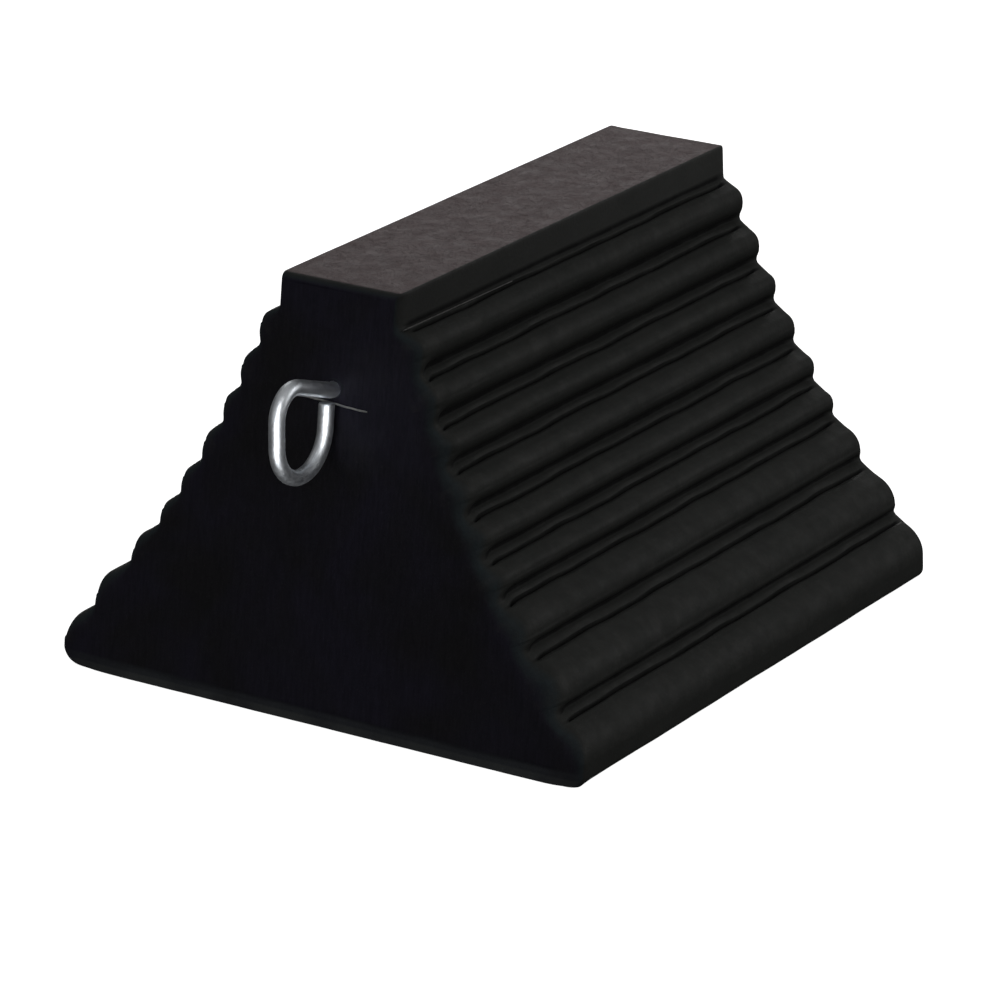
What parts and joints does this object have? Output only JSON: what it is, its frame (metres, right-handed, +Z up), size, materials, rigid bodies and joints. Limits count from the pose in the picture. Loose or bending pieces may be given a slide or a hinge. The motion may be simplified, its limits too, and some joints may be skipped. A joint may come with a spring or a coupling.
{
  "type": "wheel chock",
  "caption": "Ribbed rubber wheel chock with hollowed slopes, a flat top, drafted ends and a wire eye bolt moulded into one end.",
  "frame": {"origin": "middle of the rubber block's footprint, on the ground", "axes": "+Z up, X across the two ribbed slopes (the way a wheel rolls), Y along the ribs, with the eye bolt at -Y"},
  "size_m": [0.2096, 0.2665, 0.15],
  "materials": {
    "rubber": "moulded, satin to dull",
    "zinc_plate": "bright zinc plate",
    "plain_steel": "plain rolled steel"
  },
  "bodies": {
    "root": {"rubber_block": "rubber", "eye_bolt": "zinc_plate", "anchor_washer": "plain_steel", "anchor_nut_front": "plain_steel", "anchor_nut_rear": "plain_steel"}
  },
  "joints": []
}
